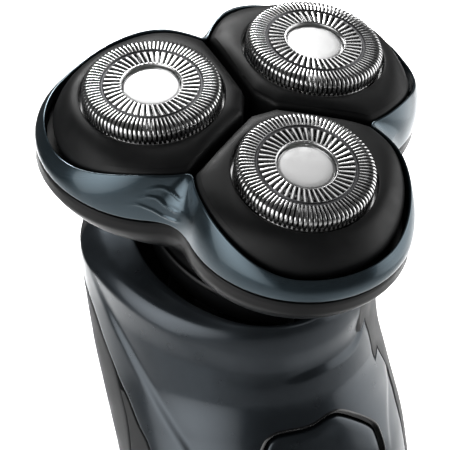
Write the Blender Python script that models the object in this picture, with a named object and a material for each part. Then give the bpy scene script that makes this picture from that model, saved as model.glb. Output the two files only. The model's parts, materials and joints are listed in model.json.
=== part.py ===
"""Rotary electric shaver with three flexing shaving heads, standing upright on its base.

Frame: origin at the centre of the flat base, +Z up, the power button faces -Y.
The driving dimensions are in millimetres; every mesh is scaled by MM when it is made.
Depths in the head are measured down its own axis from the plane of the cap discs.
"""
import math

import bmesh
import bpy
from mathutils import Matrix, Vector

MM = 0.001
GAP = 0.4

# Head: the plane of the three shaving heads, tilted forwards on the handle
HEAD_CENTRE = Vector((0.0, -13.0, 150.0))
HEAD_TILT = 25.0
POD_OFFSET = 16.8
POD_LEAN = 6.0
POD_ANGLES = {"front": 270.0, "right": 30.0, "left": 150.0}
CORNER_ANGLES = (90.0, 210.0, 330.0)
LOBE_OFFSET = 16.2
LOBE_BLEND = 2.4

# Guard caps and cutters, about each head's own axis
CAP_RADIUS = 11.1
CAP_SKIRT = 4.6
CAP_PROUD = 0.5
CAP_FLANGE = 12.2
DISC_RADIUS = 4.6
CUTTER_RADIUS = 9.9
CUTTER_ARMS = 12
CUTTER_HUB = 3.4
SOCKET_WIDTH = 3.6

# Pods: the black carriers around the caps
POD_RADIUS = 16.55
POD_TOP = 1.8
POD_BOTTOM = 10.0
POD_SPLIT = 0.9
POD_WALL = 1.3
POD_FOOT = 0.35
POD_HOLE = 11.5
POD_NOSE = 2.6
POD_INNER_DEPTH = 2.9
POD_DOME = ((0.0, 0.0), (0.45, 0.16), (0.75, 0.45), (0.92, 0.78), (1.0, 1.0))

# Trim ring: low around each lobe, rising to a peak at the three concave corners
TRIM_RADIUS = 18.5
TRIM_INNER = 16.95
TRIM_TOP = 8.1
TRIM_PEAK = 2.9
TRIM_BOTTOM = 11.6
TRIM_RISE = (10.0, 46.0)
TRIM_FLARE = 27.0

# Lower housing, from the lobed outline down to the neck
HOUSING_RADIUS = 18.2
HOUSING_WALL = 1.4
HOUSING_BLEND = 6.0
HOUSING_TOP = 12.2
HOUSING_RINGS = ((0.0, 12.8), (0.0, 14.6), (0.12, 17.2), (0.36, 19.4), (0.68, 21.6), (0.90, 23.6),
                 (1.0, 26.0))
NECK_HALF = (14.2, 19.0)
NECK_BOTTOM = 32.0

# Drive: a sun gear on the motor shaft turns one gear for each head
SPINDLE_OFFSET = 16.1
SUN_TEETH = 12
PLANET_TEETH = 24
GEAR_MODULE = 2 * SPINDLE_OFFSET / (SUN_TEETH + PLANET_TEETH)
GEAR_DEPTHS = (14.7, 16.7)
COVER_DEPTHS = (13.3, 14.2)
PLATE_DEPTHS = (17.3, 18.3)
MOTOR_DEPTHS = (29.5, 54.0)

# Handle stations: y and z of the centre, tilt, half width, half depth at front and back, squareness
NECK_CENTRE = (-0.6, 123.3)
STATIONS = (
    (-0.4, 122.8, 25.0, 19.2, 23.9, 23.4, 1.95),
    (1.9, 122.4, 25.0, 22.4, 26.4, 23.6, 1.95),
    (6.5, 121.2, 24.5, 24.6, 30.3, 20.3, 1.95),
    (8.3, 115.5, 20.0, 24.2, 29.1, 18.7, 1.95),
    (8.0, 106.7, 13.0, 24.1, 27.9, 17.3, 1.95),
    (5.3, 97.3, 6.0, 24.1, 25.7, 17.3, 2.05),
    (1.4, 86.0, 1.0, 24.1, 23.0, 18.2, 2.2),
    (-1.0, 70.0, 0.0, 23.6, 20.0, 19.8, 2.2),
    (-0.4, 46.0, 0.0, 22.4, 19.0, 19.4, 2.2),
    (0.0, 22.0, 0.0, 22.0, 19.0, 19.2, 2.2),
    (0.0, 3.2, 0.0, 22.2, 19.2, 19.2, 2.3),
)
BASE_STATIONS = (
    (0.0, 2.8, 0.0, 22.1, 19.1, 19.1, 2.3),
    (0.0, 0.9, 0.0, 21.6, 18.6, 18.6, 2.3),
    (0.0, 0.0, 0.0, 20.4, 17.4, 17.4, 2.3),
)
WALL = 2.0
RING_POINTS = 36

# Side seams as (y, z), from the top down: the edge of the glossy shell, then the edge of the back cover
SHELL_EDGE = ((14.0, 140.0), (13.2, 127.0), (12.3, 121.0), (10.9, 117.8), (8.2, 113.8), (6.0, 109.0), (3.9, 105.2),
              (2.3, 102.5), (-0.2, 99.3), (-2.5, 95.6), (-5.2, 92.0), (-9.2, 82.0), (-11.0, 68.0), (-10.5, 42.0),
              (-7.0, 16.0), (-4.0, -2.0))
BACK_EDGE = ((14.0, 140.0), (13.2, 127.0), (12.3, 121.0), (10.9, 117.8), (8.2, 113.8), (6.0, 109.0), (3.9, 105.2),
             (2.9, 102.9), (1.7, 99.3), (0.5, 95.0), (0.3, 88.0), (1.2, 68.0), (2.6, 42.0), (4.4, 16.0), (5.0, -2.0))
GRIP_PEAK = (2.2, 101.6)
GRIP_START = 8
SEAM = 0.22

# Front edge of the matt inlay on the right shoulder as (y, z), and where its edge meets the side seam
INLAY_EDGE = ((-17.9, 118.0), (-17.0, 112.0), (-15.7, 106.8), (-14.5, 108.4), (-13.4, 105.1), (-13.0, 103.0),
              (-12.8, 99.9), (-10.9, 101.1), (-10.3, 98.2), (-9.9, 95.4), (-10.9, 92.6), (-12.0, 90.4),
              (-12.6, 88.0), (-12.9, 85.0), (-12.8, 80.0), (-12.1, 74.0), (-11.3, 68.6))
INLAY_GAP = 0.35

# Power button, its outline seen from the front as (x, z), about its own centre
BUTTON_CENTRE = (1.2, 84.0)
BUTTON_OUTLINE = ((-9.6, 8.6), (-7.4, 10.7), (-1.7, 10.7), (2.4, 11.6), (5.0, 10.9), (9.9, 7.3), (11.1, 5.0),
                  (11.5, 0.5), (10.3, -6.0), (6.0, -10.8), (0.0, -12.6), (-6.0, -10.8), (-10.2, -6.0),
                  (-11.5, 0.0), (-11.0, 5.0))
LAMP_HEIGHT = 64.0
LAMP_SPAN = (17.6, 20.3)
BEZEL_WIDTH = 0.9
BUTTON_STEM = (3.0, 3.0)
BUTTON_TRAVEL = 0.8
SWITCH_FRONT = -8.4
SWITCH_BACK = -5.6

# Parts inside the handle
BOARD = ((0.0, -4.4, 62.0), (25.0, 1.6, 82.0))
CHASSIS = ((0.0, 0.2, 52.0), (28.0, 2.0, 82.0))
CELL_RADIUS = 7.0
CELL_SPAN = (26.0, 76.0)
CELL_Y = 9.2

# Charge inlet in the base
INLET_CENTRE = (0.0, 9.6)
INLET_HALF = (5.0, 3.0)
INLET_WALL = 1.0
INLET_DEPTH = 7.0
PIN_SPACING = 2.4
SCREW_SPOTS = {"screw_left": (-14.0, -4.0), "screw_right": (14.0, -4.0)}

HEAD_FRAME = Matrix.Translation(HEAD_CENTRE) @ Matrix.Rotation(math.radians(HEAD_TILT), 4, "X")
# local x, y and z of the side frame run along world Y, Z and X; of the front frame along X, Z and -Y
SIDE_FRAME = Matrix(((0, 0, 1, 0), (1, 0, 0, 0), (0, 1, 0, 0), (0, 0, 0, 1)))
FRONT_FRAME = Matrix(((1, 0, 0, 0), (0, 0, -1, 0), (0, 1, 0, 0), (0, 0, 0, 1)))


def clear_scene():
    for obj in list(bpy.data.objects):
        bpy.data.objects.remove(obj, do_unlink=True)


def material(name, colour, roughness, metallic=0.0):
    mat = bpy.data.materials.new(name)
    mat.use_nodes = True
    shader = mat.node_tree.nodes["Principled BSDF"]
    shader.inputs["Base Color"].default_value = (*colour, 1.0)
    shader.inputs["Roughness"].default_value = roughness
    shader.inputs["Metallic"].default_value = metallic
    return mat


def make_materials():
    return {
        "soft_black": material("soft_black", (0.018, 0.020, 0.023), 0.55),
        "housing_black": material("housing_black", (0.010, 0.011, 0.013), 0.35),
        "trim_metal": material("trim_metal", (0.10, 0.15, 0.18), 0.22, 0.7),
        "shell_gloss": material("shell_gloss", (0.055, 0.070, 0.085), 0.18, 0.5),
        "cover_grey": material("cover_grey", (0.060, 0.062, 0.066), 0.6),
        "grip_grey": material("grip_grey", (0.045, 0.046, 0.048), 0.75),
        "cap_steel": material("cap_steel", (0.62, 0.63, 0.64), 0.25, 1.0),
        "gear_white": material("gear_white", (0.75, 0.75, 0.73), 0.5),
        "board_green": material("board_green", (0.03, 0.17, 0.08), 0.5),
        "cell_blue": material("cell_blue", (0.05, 0.12, 0.30), 0.4),
        "brass": material("brass", (0.70, 0.52, 0.22), 0.3, 1.0),
        "lamp_clear": material("lamp_clear", (0.80, 0.86, 0.90), 0.2),
        "seal_rubber": material("seal_rubber", (0.02, 0.02, 0.02), 0.8),
    }


def placed(frame):
    """A frame in millimetres as a world matrix in metres."""
    return Matrix.Translation(frame.to_translation() * MM) @ frame.to_3x3().to_4x4()


def attach(obj, parent):
    """Parent obj without moving it."""
    place = obj.matrix_world.copy()
    obj.parent = parent
    obj.matrix_parent_inverse = parent.matrix_world.inverted()
    obj.matrix_world = place
    bpy.context.view_layer.update()


def joint_frame(name, frame, parent=None):
    """An empty on a joint's axis; frame is in millimetres, in the world."""
    empty = bpy.data.objects.new(name, None)
    bpy.context.collection.objects.link(empty)
    empty.matrix_world = placed(frame)
    bpy.context.view_layer.update()
    if parent:
        attach(empty, parent)
    return empty


def new_object(name, bm, frame):
    """Make a mesh object from a bmesh in millimetres, placed by frame."""
    bmesh.ops.recalc_face_normals(bm, faces=bm.faces)
    bmesh.ops.scale(bm, vec=(MM, MM, MM), verts=bm.verts)
    mesh = bpy.data.meshes.new(name)
    bm.to_mesh(mesh)
    bm.free()
    mesh.shade_smooth()
    mesh.set_sharp_from_angle(angle=math.radians(35))
    obj = bpy.data.objects.new(name, mesh)
    bpy.context.collection.objects.link(obj)
    obj.matrix_world = placed(frame)
    return obj


def loft(name, rings, frame=Matrix(), closed=False):
    """Join rings of equal length with quads; closed joins the last ring to the first."""
    bm = bmesh.new()
    rows = [[bm.verts.new(p) for p in ring] for ring in rings]
    count = len(rows[0])
    pairs = list(zip(rows, rows[1:]))
    if closed:
        pairs.append((rows[-1], rows[0]))
    for upper, lower in pairs:
        for i in range(count):
            j = (i + 1) % count
            bm.faces.new((upper[i], upper[j], lower[j], lower[i]))
    if not closed:
        bm.faces.new(rows[0])
        bm.faces.new(rows[-1])
    return new_object(name, bm, frame)


def turned(name, profile, frame=Matrix(), steps=24, closed=False):
    """Turn (radius, z) points about the local Z axis."""
    turns = [math.tau * i / steps for i in range(steps)]
    rings = [[(r * math.cos(a), r * math.sin(a), z) for a in turns] for r, z in profile]
    return loft(name, rings, frame, closed)


def prism(name, outline, low, high, frame=Matrix()):
    """Extrude an (x, y) outline from z = low to z = high."""
    return loft(name, [[(x, y, z) for x, y in outline] for z in (low, high)], frame)


def box(name, centre, size, frame=Matrix()):
    cx, cy, cz = centre
    hx, hy, hz = (s / 2 for s in size)
    outline = [(cx - hx, cy - hy), (cx + hx, cy - hy), (cx + hx, cy + hy), (cx - hx, cy + hy)]
    return prism(name, outline, cz - hz, cz + hz, frame)


def combine(obj, tool, operation):
    """Apply one Boolean to obj and remove the tool."""
    modifier = obj.modifiers.new("cut", "BOOLEAN")
    modifier.operation = operation
    modifier.object = tool
    graph = bpy.context.evaluated_depsgraph_get()
    mesh = bpy.data.meshes.new_from_object(obj.evaluated_get(graph))
    obj.modifiers.clear()
    obj.data = mesh
    bpy.data.objects.remove(tool, do_unlink=True)
    return obj


def finish(obj, mat, parent=None):
    """Give a finished piece its material, its joint's parent and that joint's origin."""
    obj.data.materials.clear()
    obj.data.materials.append(mat)
    if parent:
        attach(obj, parent)
    return obj


def smooth_max(a, b, blend):
    """The larger of a and b, with the crossing rounded over the blend length."""
    h = max(blend - abs(a - b), 0.0) / blend
    return max(a, b) + h * h * blend / 4


def mix(a, b, t):
    return a + (b - a) * t


def trefoil(angle, radius, blend=LOBE_BLEND):
    """Distance from the head's centre to the three-lobed outline, at an angle in degrees."""
    reach = []
    for centre in POD_ANGLES.values():
        phi = math.radians(angle - centre)
        inside = radius ** 2 - (LOBE_OFFSET * math.sin(phi)) ** 2
        reach.append(LOBE_OFFSET * math.cos(phi) + math.sqrt(inside))
    reach.sort()
    return smooth_max(reach[2], reach[1], blend)


def oval(angle, half_x, half_y):
    a = math.radians(angle)
    return half_x * half_y / math.hypot(half_y * math.cos(a), half_x * math.sin(a))


def corner_weight(angle, near, far):
    """1 within near degrees of the three concave corners of the head, falling smoothly to 0 at far degrees."""
    away = min(abs((angle - centre + 180) % 360 - 180) for centre in CORNER_ANGLES)
    t = min(max((far - away) / (far - near), 0.0), 1.0)
    return t * t * (3 - 2 * t)


def trim_top(angle):
    return mix(TRIM_TOP, TRIM_PEAK, corner_weight(angle, *TRIM_RISE))


def head_ring(steps, radius_at, depth_at):
    """A ring in the head's own frame, from radius and depth as functions of the angle."""
    ring = []
    for i in range(steps):
        angle = 360.0 * i / steps
        r = radius_at(angle)
        a = math.radians(angle)
        ring.append((r * math.cos(a), r * math.sin(a), -depth_at(angle)))
    return ring


def level(depth):
    return lambda angle: depth


def station_ring(station, inset=0.0):
    """One ring of the handle: a superellipse tilted about X and drawn in by inset."""
    y, z, tilt, half, front, back, power = station
    lean = math.radians(tilt)
    ring = []
    for i in range(RING_POINTS):
        a = math.tau * i / RING_POINTS
        c, s = math.cos(a), math.sin(a)
        depth = (back if s > 0 else front) - inset
        px = (half - inset) * math.copysign(abs(c) ** (2 / power), c)
        py = depth * math.copysign(abs(s) ** (2 / power), s)
        ring.append((px, y + py * math.cos(lean), z + py * math.sin(lean)))
    return ring


def pod_frame(side):
    """Frame of one shaving head: local X points outwards, Z along its own axis."""
    spin = Matrix.Rotation(math.radians(POD_ANGLES[side]), 4, "Z")
    lean = Matrix.Rotation(math.radians(POD_LEAN), 4, "Y")
    return HEAD_FRAME @ spin @ Matrix.Translation((POD_OFFSET, 0, 0)) @ lean


def spindle_frame(side):
    spin = Matrix.Rotation(math.radians(POD_ANGLES[side]), 4, "Z")
    return HEAD_FRAME @ spin @ Matrix.Translation((SPINDLE_OFFSET, 0, 0))


def pod_outline():
    """Plan of one pod as (x, y, edge depth): the lobe outside, two straight edges and a cut nose inside."""
    reach = trefoil(POD_ANGLES["right"] + 60, POD_RADIUS)
    half = math.radians(60) - math.asin(POD_SPLIT / reach)
    points = []
    for i in range(25):
        a = mix(-half, half, i / 24)
        angle = POD_ANGLES["right"] + math.degrees(a)
        r = trefoil(angle, POD_RADIUS)
        x = r * math.cos(a) - POD_OFFSET
        points.append((x, r * math.sin(a), trim_top(angle) - 0.1 - x * math.sin(math.radians(POD_LEAN))))
    corner = Vector(points[-1][:2])
    apex = Vector((POD_SPLIT / math.sin(math.radians(60)) - POD_OFFSET, 0))
    nose = apex + (corner - apex).normalized() * POD_NOSE
    edge = [corner.lerp(nose, t) for t in (0.3, 0.6, 1.0)]
    points += [(p.x, p.y, POD_INNER_DEPTH) for p in edge]
    points += [(p.x, -p.y, POD_INNER_DEPTH) for p in reversed(edge)]
    return points


def make_pod(side, mats, parent):
    """Pod: a domed carrier with a round hole for the guard cap, hollow underneath."""
    outline = pod_outline()

    def ring(fraction, rise, wall, drop):
        """Points between the hole and the outline; rise is how far the dome has fallen by then."""
        points = []
        for x, y, depth in outline:
            reach = math.hypot(x, y)
            r = mix(POD_HOLE, reach - wall, fraction)
            points.append((x / reach * r, y / reach * r, -mix(POD_TOP, depth, rise) - drop))
        return points

    def foot(drawn_in):
        lean = math.sin(math.radians(POD_LEAN))
        return [(x, y, x * lean - POD_BOTTOM) for x, y, _ in ring(1.0, 1.0, drawn_in, 0.0)]

    rings = [ring(fraction, rise, 0.0, 0.0) for fraction, rise in POD_DOME]
    rings += [foot(POD_FOOT), foot(POD_WALL)]
    rings += [ring(1.0, 1.0, POD_WALL, 1.2), ring(0.6, 0.35, POD_WALL, 1.5), ring(0.0, 0.0, POD_WALL, 1.5)]
    return finish(loft("pod_" + side, rings, pod_frame(side), closed=True), mats["soft_black"], parent)


def make_cap(side, mats, parent):
    """Guard cap: a thin steel cup whose flange sits under the pod, with a plain disc in its centre."""
    edge = CAP_RADIUS
    profile = [(DISC_RADIUS + 0.2, CAP_PROUD), (edge - 0.7, CAP_PROUD), (edge, -0.5), (edge, -CAP_SKIRT + 0.5),
               (CAP_FLANGE, -CAP_SKIRT + 0.5), (CAP_FLANGE, -CAP_SKIRT), (edge - 0.6, -CAP_SKIRT), (edge - 0.6, -0.7),
               (edge - 1.0, CAP_PROUD - 0.6), (DISC_RADIUS + 0.2, CAP_PROUD - 0.6)]
    cap = turned("guard_cap_" + side, profile, pod_frame(side), 32, closed=True)
    finish(cap, mats["cap_steel"], parent)
    disc_profile = [(DISC_RADIUS - 0.3, 0.0), (DISC_RADIUS, -0.2), (DISC_RADIUS, -0.6)]
    disc = turned("cap_disc_" + side, disc_profile, pod_frame(side), 28)
    finish(disc, mats["cap_steel"], parent)


def make_cutter(side, mats, parent):
    """Cutter: a steel star of blades on a hub with a square drive socket underneath."""
    frame = pod_frame(side)
    outline = []
    for i in range(CUTTER_ARMS):
        for r, turn in ((5.6, -0.28), (CUTTER_RADIUS, -0.16), (CUTTER_RADIUS, 0.16), (5.6, 0.28)):
            a = (i + turn) * math.tau / CUTTER_ARMS
            outline.append((r * math.cos(a), r * math.sin(a)))
    cutter = prism("cutter_" + side, outline, -2.4, -1.1, frame)
    combine(cutter, turned("hub", [(CUTTER_HUB, -1.6), (CUTTER_HUB, -7.2)], frame, 20), "UNION")
    combine(cutter, box("socket", (0, 0, -6.0), (SOCKET_WIDTH, SOCKET_WIDTH, 4.8), frame), "DIFFERENCE")
    finish(cutter, mats["cap_steel"], parent)


def make_trim(mats, parent):
    """Trim ring: the metallic band around the pods, which carries the shaving unit."""
    steps = 72

    def outer(radius, extra):
        return lambda angle: trefoil(angle, radius) + extra * corner_weight(angle, 0.0, TRIM_FLARE)

    def inner(angle):
        return trefoil(angle, TRIM_INNER)

    def between(t):
        return lambda angle: mix(trim_top(angle), TRIM_BOTTOM, t)

    rings = [
        head_ring(steps, inner, lambda angle: trim_top(angle) + 0.1),
        head_ring(steps, outer(TRIM_INNER + 0.3, 0.0), trim_top),
        head_ring(steps, outer(TRIM_RADIUS - 0.45, 0.1), between(0.35)),
        head_ring(steps, outer(TRIM_RADIUS, 0.2), between(0.8)),
        head_ring(steps, outer(TRIM_RADIUS - 0.1, 0.2), level(TRIM_BOTTOM)),
        head_ring(steps, inner, level(TRIM_BOTTOM)),
    ]
    return finish(loft("trim_ring", rings, HEAD_FRAME, closed=True), mats["trim_metal"], parent)


def lobed_plate(name, depths, radius_at, holes, centre_hole):
    """A flat plate in the head with a round hole at each spindle and one in the middle."""
    plate = loft(name, [head_ring(60, radius_at, level(d)) for d in depths], HEAD_FRAME)
    high, low = -depths[0] + 1, -depths[1] - 1
    for side in POD_ANGLES:
        combine(plate, turned("hole", [(holes, high), (holes, low)], spindle_frame(side), 20), "DIFFERENCE")
    if centre_hole:
        combine(plate, turned("hole", [(centre_hole, high), (centre_hole, low)], HEAD_FRAME, 16), "DIFFERENCE")
    return plate


def housing_radius(blend_to_neck, shrink):
    def radius(angle):
        lobes = trefoil(angle, HOUSING_RADIUS, HOUSING_BLEND)
        return mix(lobes, oval(angle, *NECK_HALF), blend_to_neck) - shrink
    return radius


def make_housing(mats, parent):
    """Lower head housing: a bowl from the lobed outline down to the neck."""
    steps = 54
    outer = [head_ring(steps, housing_radius(0.0, 0.3), level(HOUSING_TOP))]
    outer += [head_ring(steps, housing_radius(t, 0.0), level(d)) for t, d in HOUSING_RINGS]
    outer.append(head_ring(steps, housing_radius(1.0, 0.0), level(NECK_BOTTOM)))
    inner = [head_ring(steps, housing_radius(1.0, HOUSING_WALL), level(NECK_BOTTOM))]
    for t, d in reversed(HOUSING_RINGS[1:]):
        inner.append(head_ring(steps, housing_radius(t, HOUSING_WALL), level(d - 0.6)))
    inner.append(head_ring(steps, housing_radius(0.0, HOUSING_WALL), level(HOUSING_TOP)))
    housing = loft("head_housing", outer + inner, HEAD_FRAME, closed=True)
    return finish(housing, mats["housing_black"], parent)


def gear_outline(teeth, phase):
    """Straight-sided teeth with enough backlash to turn freely."""
    pitch = GEAR_MODULE * teeth / 2
    outline = []
    for i in range(teeth):
        for r, turn in ((pitch - 0.9, -0.28), (pitch + 0.55, -0.12), (pitch + 0.55, 0.12), (pitch - 0.9, 0.28)):
            a = phase + (i + turn) * math.tau / teeth
            outline.append((r * math.cos(a), r * math.sin(a)))
    return outline


def make_drive(mats, drive, spindles):
    """Sun gear and motor shaft, and a gear with its drive spindle under each head."""
    top, bottom = GEAR_DEPTHS
    sun = prism("drive_gear", gear_outline(SUN_TEETH, 0.0), -bottom, -top, HEAD_FRAME)
    combine(sun, turned("bore", [(1.3, -10), (1.3, -20)], HEAD_FRAME, 12), "DIFFERENCE")
    finish(sun, mats["brass"], drive)
    shaft = turned("motor_shaft", [(1.0, -top - 0.2), (1.0, -MOTOR_DEPTHS[0] + GAP)], HEAD_FRAME, 12)
    finish(shaft, mats["cap_steel"], drive)
    for side in POD_ANGLES:
        frame = spindle_frame(side)
        teeth = gear_outline(PLANET_TEETH, math.pi + math.pi / PLANET_TEETH)
        gear = prism("gear_" + side, teeth, -bottom, -top, frame)
        combine(gear, turned("bore", [(3.2, -10), (3.2, -20)], frame, 16), "DIFFERENCE")
        finish(gear, mats["gear_white"], spindles[side])
        profile = [(0.8, -5.0), (0.9, -7.4), (1.7, -8.2), (1.7, -12.0), (2.8, -13.0), (2.8, -16.8), (1.9, -16.8),
                   (1.9, -13.4)]
        finish(turned("spindle_" + side, profile, frame, 16), mats["gear_white"], spindles[side])


def make_head_base(mats, parent):
    """The fixed plates of the head: chamber floor, gear plate with its posts, shaft seal and neck ring."""
    def inside(angle):
        return housing_radius(0.0, HOUSING_WALL + GAP)(angle)

    floor = lobed_plate("gear_cover", COVER_DEPTHS, inside, 3.3, None)
    finish(floor, mats["housing_black"], parent)
    plate = lobed_plate("gear_plate", PLATE_DEPTHS, housing_radius(0.30, HOUSING_WALL + 0.8), 0.6, 1.8)
    for side in POD_ANGLES:
        post = turned("post", [(1.4, -13.8), (1.4, -PLATE_DEPTHS[1] + 0.2)], spindle_frame(side), 12)
        combine(plate, post, "UNION")
    finish(plate, mats["cap_steel"], parent)
    seal_profile = [(1.4, -18.7), (3.6, -18.7), (3.6, -20.4), (1.4, -20.4)]
    seal = turned("shaft_seal", seal_profile, HEAD_FRAME, 20, closed=True)
    finish(seal, mats["seal_rubber"], parent)
    rings = []
    for grow, depth in ((0.3, 26.8), (0.9, 27.0), (0.9, 27.8), (0.3, 28.0)):
        rings.append(head_ring(48, lambda angle, g=grow: oval(angle, *NECK_HALF) + g, level(depth)))
    finish(loft("neck_ring", rings, HEAD_FRAME, closed=True), mats["housing_black"], parent)


def side_region(edge_front, edge_back, low, high):
    """Prism between two seams seen from the side, from x = low to x = high."""
    outline = list(edge_front) + list(reversed(edge_back))
    return prism("region", outline, low, high, SIDE_FRAME)


def shifted(edge, amount):
    return [(y + amount, z) for y, z in edge]


def handle_wall(name):
    outer = [station_ring(s) for s in STATIONS]
    inner = [station_ring(s, WALL) for s in reversed(STATIONS)]
    return loft(name, outer + inner, closed=True)


def grown(outline, amount):
    """A clockwise outline with each of its sides moved outwards by an offset."""
    points = [Vector(p) for p in outline]
    count = len(points)
    moved = []
    for i, point in enumerate(points):
        before = (point - points[i - 1]).normalized()
        after = (points[(i + 1) % count] - point).normalized()
        out = Vector((-before.y - after.y, before.x + after.x)).normalized()
        reach = amount / max(out.dot(Vector((-after.y, after.x))), 0.35)
        moved.append(tuple(point + out * reach))
    return moved


def button_prism(grow, low, high):
    """The button's outline, grown by an offset, as a prism through the front of the handle."""
    cx, cz = BUTTON_CENTRE
    outline = [(cx + x, cz + z) for x, z in grown(BUTTON_OUTLINE, grow)]
    return prism("button_area", outline, low, high, FRONT_FRAME)


def inlay_outline(back_shift):
    """The inlay seen from the side, clockwise: up its front edge and down the shell's seam."""
    back = [(y, z) for y, z in shifted(SHELL_EDGE, back_shift) if z > INLAY_EDGE[-1][1]]
    return list(reversed(INLAY_EDGE)) + back


def make_handle(mats):
    front_line = [(-60, 140), (-60, -2)]
    back_line = [(60, 140), (60, -2)]
    front_part = side_region(front_line, shifted(SHELL_EDGE, -SEAM), -40, 40)
    shell = combine(handle_wall("front_shell"), front_part, "INTERSECT")
    combine(shell, prism("cut", grown(inlay_outline(1.5), INLAY_GAP), 1, 40, SIDE_FRAME), "DIFFERENCE")
    combine(shell, button_prism(BEZEL_WIDTH + GAP, 5, 40), "DIFFERENCE")
    lamp_place = FRONT_FRAME @ Matrix.Translation((0, LAMP_HEIGHT, 0))
    combine(shell, turned("cut", [(1.3, 10), (1.3, 30)], lamp_place, 16), "DIFFERENCE")
    finish(shell, mats["shell_gloss"])
    inlay = combine(handle_wall("shoulder_inlay"), prism("area", inlay_outline(-SEAM), 1, 40, SIDE_FRAME), "INTERSECT")
    finish(inlay, mats["cover_grey"])
    back_part = side_region(shifted(BACK_EDGE, SEAM), back_line, -40, 40)
    finish(combine(handle_wall("back_cover"), back_part, "INTERSECT"), mats["cover_grey"])
    front_edge = [GRIP_PEAK] + shifted(SHELL_EDGE[GRIP_START:], SEAM)
    back_edge = shifted(BACK_EDGE[GRIP_START:], -SEAM)
    for name, low, high in (("grip_left", -40, -1), ("grip_right", 1, 40)):
        grip = combine(handle_wall(name), side_region(front_edge, back_edge, low, high), "INTERSECT")
        finish(grip, mats["grip_grey"])


def make_button(mats, parent):
    """Power button with its stem, and the bezel around it."""
    bezel = combine(handle_wall("button_bezel"), button_prism(BEZEL_WIDTH, 5, 40), "INTERSECT")
    combine(bezel, button_prism(0.0, 5, 40), "DIFFERENCE")
    finish(bezel, mats["housing_black"])
    button = combine(handle_wall("power_button"), button_prism(-0.25, 5, 40), "INTERSECT")
    x, z = BUTTON_CENTRE
    reach = 19.5
    stem_end = -SWITCH_FRONT + BUTTON_TRAVEL + GAP
    stem = box("stem", (x, z, (reach + stem_end) / 2), (*BUTTON_STEM, reach - stem_end), FRONT_FRAME)
    combine(button, stem, "UNION")
    finish(button, mats["shell_gloss"], parent)


def oval_outline(cx, cy, half_x, half_y, steps=24):
    return [(cx + half_x * math.cos(math.tau * i / steps), cy + half_y * math.sin(math.tau * i / steps))
            for i in range(steps)]


def make_base(mats):
    """Base cap with the charge inlet, its two pins and two screws."""
    base = loft("base_cap", [station_ring(s) for s in BASE_STATIONS])
    x, y = INLET_CENTRE
    outside = [h + INLET_WALL for h in INLET_HALF]
    combine(base, prism("cut", oval_outline(x, y, outside[0] + 0.2, outside[1] + 0.2), -1, 4), "DIFFERENCE")
    for sx, sy in SCREW_SPOTS.values():
        spot = Matrix.Translation((sx, sy, 0))
        combine(base, turned("cut", [(2.3, -1), (2.3, 1.8)], spot, 16), "DIFFERENCE")
        combine(base, turned("cut", [(1.2, 1), (1.2, 4)], spot, 12), "DIFFERENCE")
    finish(base, mats["housing_black"])
    socket = prism("charge_socket", oval_outline(x, y, *outside), 0.3, INLET_DEPTH + 1.4)
    combine(socket, prism("cut", oval_outline(x, y, *INLET_HALF), -1, INLET_DEPTH), "DIFFERENCE")
    for side in (-1, 1):
        spot = Matrix.Translation((x + side * PIN_SPACING, y, 0))
        combine(socket, turned("cut", [(0.8, 6), (0.8, 12)], spot, 10), "DIFFERENCE")
        name = "charge_pin_left" if side < 0 else "charge_pin_right"
        finish(turned(name, [(0.5, 5.0), (0.5, 11.0)], spot, 10), mats["brass"])
    finish(socket, mats["housing_black"])
    for name, (sx, sy) in SCREW_SPOTS.items():
        profile = [(1.2, 0.4), (2.0, 0.6), (2.0, 1.5), (0.9, 1.6), (0.9, 8.0)]
        screw = turned(name, profile, Matrix.Translation((sx, sy, 0)), 14)
        combine(screw, box("slot", (sx, sy, 0.4), (5.0, 0.6, 0.9)), "DIFFERENCE")
        finish(screw, mats["cap_steel"])


def make_inside(mats):
    """Motor, cell, chassis, circuit board and switch."""
    corner, half_x, half_y = 3.0, 10.0, 7.5
    outline = []
    for sx, sy in ((1, 1), (-1, 1), (-1, -1), (1, -1)):
        points = [(sx * (half_x - corner), sy * half_y), (sx * half_x, sy * (half_y - corner))]
        outline += points if sx * sy < 0 else reversed(points)
    finish(prism("motor", outline, -MOTOR_DEPTHS[1], -MOTOR_DEPTHS[0], HEAD_FRAME), mats["cap_steel"])
    low, high = CELL_SPAN
    cell = [(3.0, high + 0.8), (CELL_RADIUS, high), (CELL_RADIUS, low)]
    finish(turned("battery", cell, Matrix.Translation((0, CELL_Y, 0)), 24), mats["cell_blue"])
    for name, z in (("battery_tab_top", high + 1.5), ("battery_tab_bottom", low - 0.6)):
        finish(box(name, (0, 6.0, z), (5.0, 8.0, 0.4)), mats["brass"])
    finish(box("chassis", *CHASSIS), mats["housing_black"])
    finish(box("circuit_board", *BOARD), mats["board_green"])
    x, z = BUTTON_CENTRE
    switch = box("tact_switch", (x, (SWITCH_FRONT + SWITCH_BACK) / 2, z), (6.0, SWITCH_BACK - SWITCH_FRONT, 6.0))
    finish(switch, mats["housing_black"])
    lamp_place = FRONT_FRAME @ Matrix.Translation((0, LAMP_HEIGHT, 0))
    lamp = turned("charge_light", [(1.0, d) for d in LAMP_SPAN], lamp_place, 16)
    finish(lamp, mats["lamp_clear"])


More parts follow.
